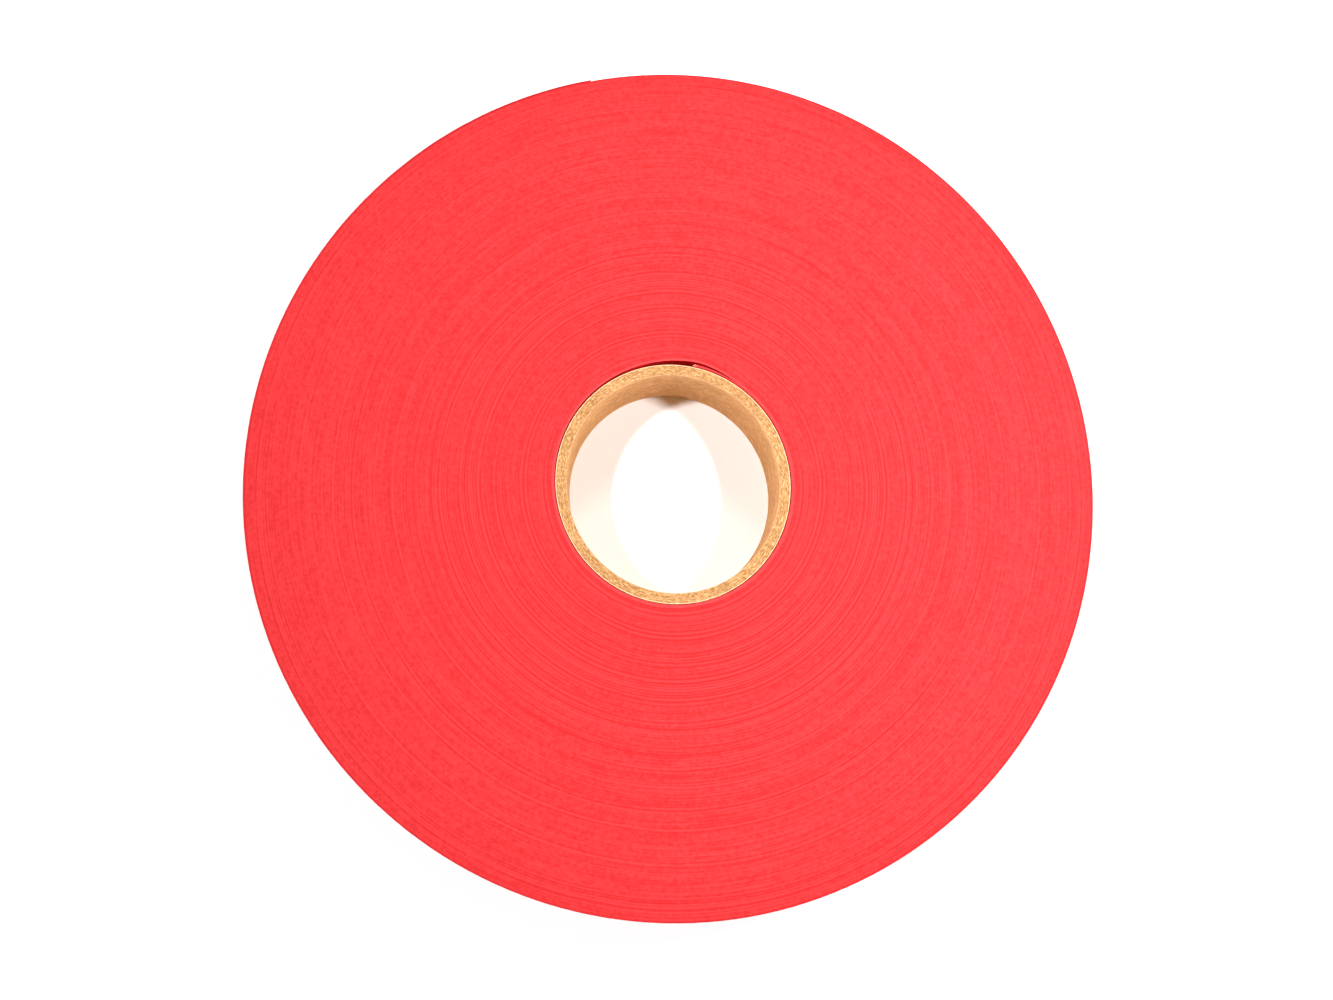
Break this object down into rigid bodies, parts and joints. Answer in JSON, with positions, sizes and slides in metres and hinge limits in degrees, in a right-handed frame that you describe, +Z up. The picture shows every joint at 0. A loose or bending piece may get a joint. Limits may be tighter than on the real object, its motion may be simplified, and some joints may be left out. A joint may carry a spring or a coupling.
{
  "type": "electrical tape roll",
  "caption": "Long roll of red vinyl electrical tape wound flush on a narrow kraft paper core, with a free outer tail that peels and curls away from the roll.",
  "frame": {"origin": "on the axis of the core's bore, at the level of the side face that the roll lies on", "axes": "+Z up along the bore's axis; +Y towards the side where the free tail ends; the strip winds outwards clockwise seen from +Z"},
  "size_m": [0.1497, 0.1497, 0.0191],
  "materials": {
    "kraft_paper": "matte",
    "core_board": "matte",
    "red_vinyl": "satin"
  },
  "bodies": {
    "roll": {"core_liner": "kraft_paper", "core_ply_2": "core_board", "core_ply_3": "core_board", "core_ply_4": "core_board", "core_outer_ply": "kraft_paper", "strip_start": "red_vinyl", "first_turns": "red_vinyl", "wound_stretch_1": "red_vinyl", "wound_stretch_2": "red_vinyl", "wound_stretch_3": "red_vinyl", "wound_stretch_4": "red_vinyl", "wound_stretch_5": "red_vinyl", "wound_stretch_6": "red_vinyl", "last_turns": "red_vinyl"},
    "tail_1": {"tail_segment_1": "red_vinyl"},
    "tail_2": {"tail_segment_2": "red_vinyl"},
    "tail_3": {"tail_segment_3": "red_vinyl"},
    "tail_4": {"tail_segment_4": "red_vinyl"},
    "tail_5": {"tail_segment_5": "red_vinyl"},
    "tail_6": {"tail_segment_6": "red_vinyl"}
  },
  "joints": [
    {"name": "tail_peel_1", "type": "hinge", "parent": "roll", "child": "tail_1", "pos_m": [-0.04718, 0.0583, 0.00953], "axis": [0, 0, 1], "range_deg": [0, 20]},
    {"name": "tail_peel_2", "type": "hinge", "parent": "tail_1", "child": "tail_2", "pos_m": [-0.04237, 0.06188, 0.00953], "axis": [0, 0, 1], "range_deg": [0, 20]},
    {"name": "tail_peel_3", "type": "hinge", "parent": "tail_2", "child": "tail_3", "pos_m": [-0.03729, 0.06507, 0.00953], "axis": [0, 0, 1], "range_deg": [0, 20]},
    {"name": "tail_peel_4", "type": "hinge", "parent": "tail_3", "child": "tail_4", "pos_m": [-0.03197, 0.06784, 0.00953], "axis": [0, 0, 1], "range_deg": [0, 20]},
    {"name": "tail_peel_5", "type": "hinge", "parent": "tail_4", "child": "tail_5", "pos_m": [-0.02645, 0.07018, 0.00953], "axis": [0, 0, 1], "range_deg": [0, 20]},
    {"name": "tail_peel_6", "type": "hinge", "parent": "tail_5", "child": "tail_6", "pos_m": [-0.02075, 0.07207, 0.00953], "axis": [0, 0, 1], "range_deg": [0, 20]}
  ],
  "couplings": [
    {"joint": "tail_peel_2", "follows": "tail_peel_1", "ratio": 1},
    {"joint": "tail_peel_3", "follows": "tail_peel_1", "ratio": 1},
    {"joint": "tail_peel_4", "follows": "tail_peel_1", "ratio": 1},
    {"joint": "tail_peel_5", "follows": "tail_peel_1", "ratio": 1},
    {"joint": "tail_peel_6", "follows": "tail_peel_1", "ratio": 1}
  ]
}
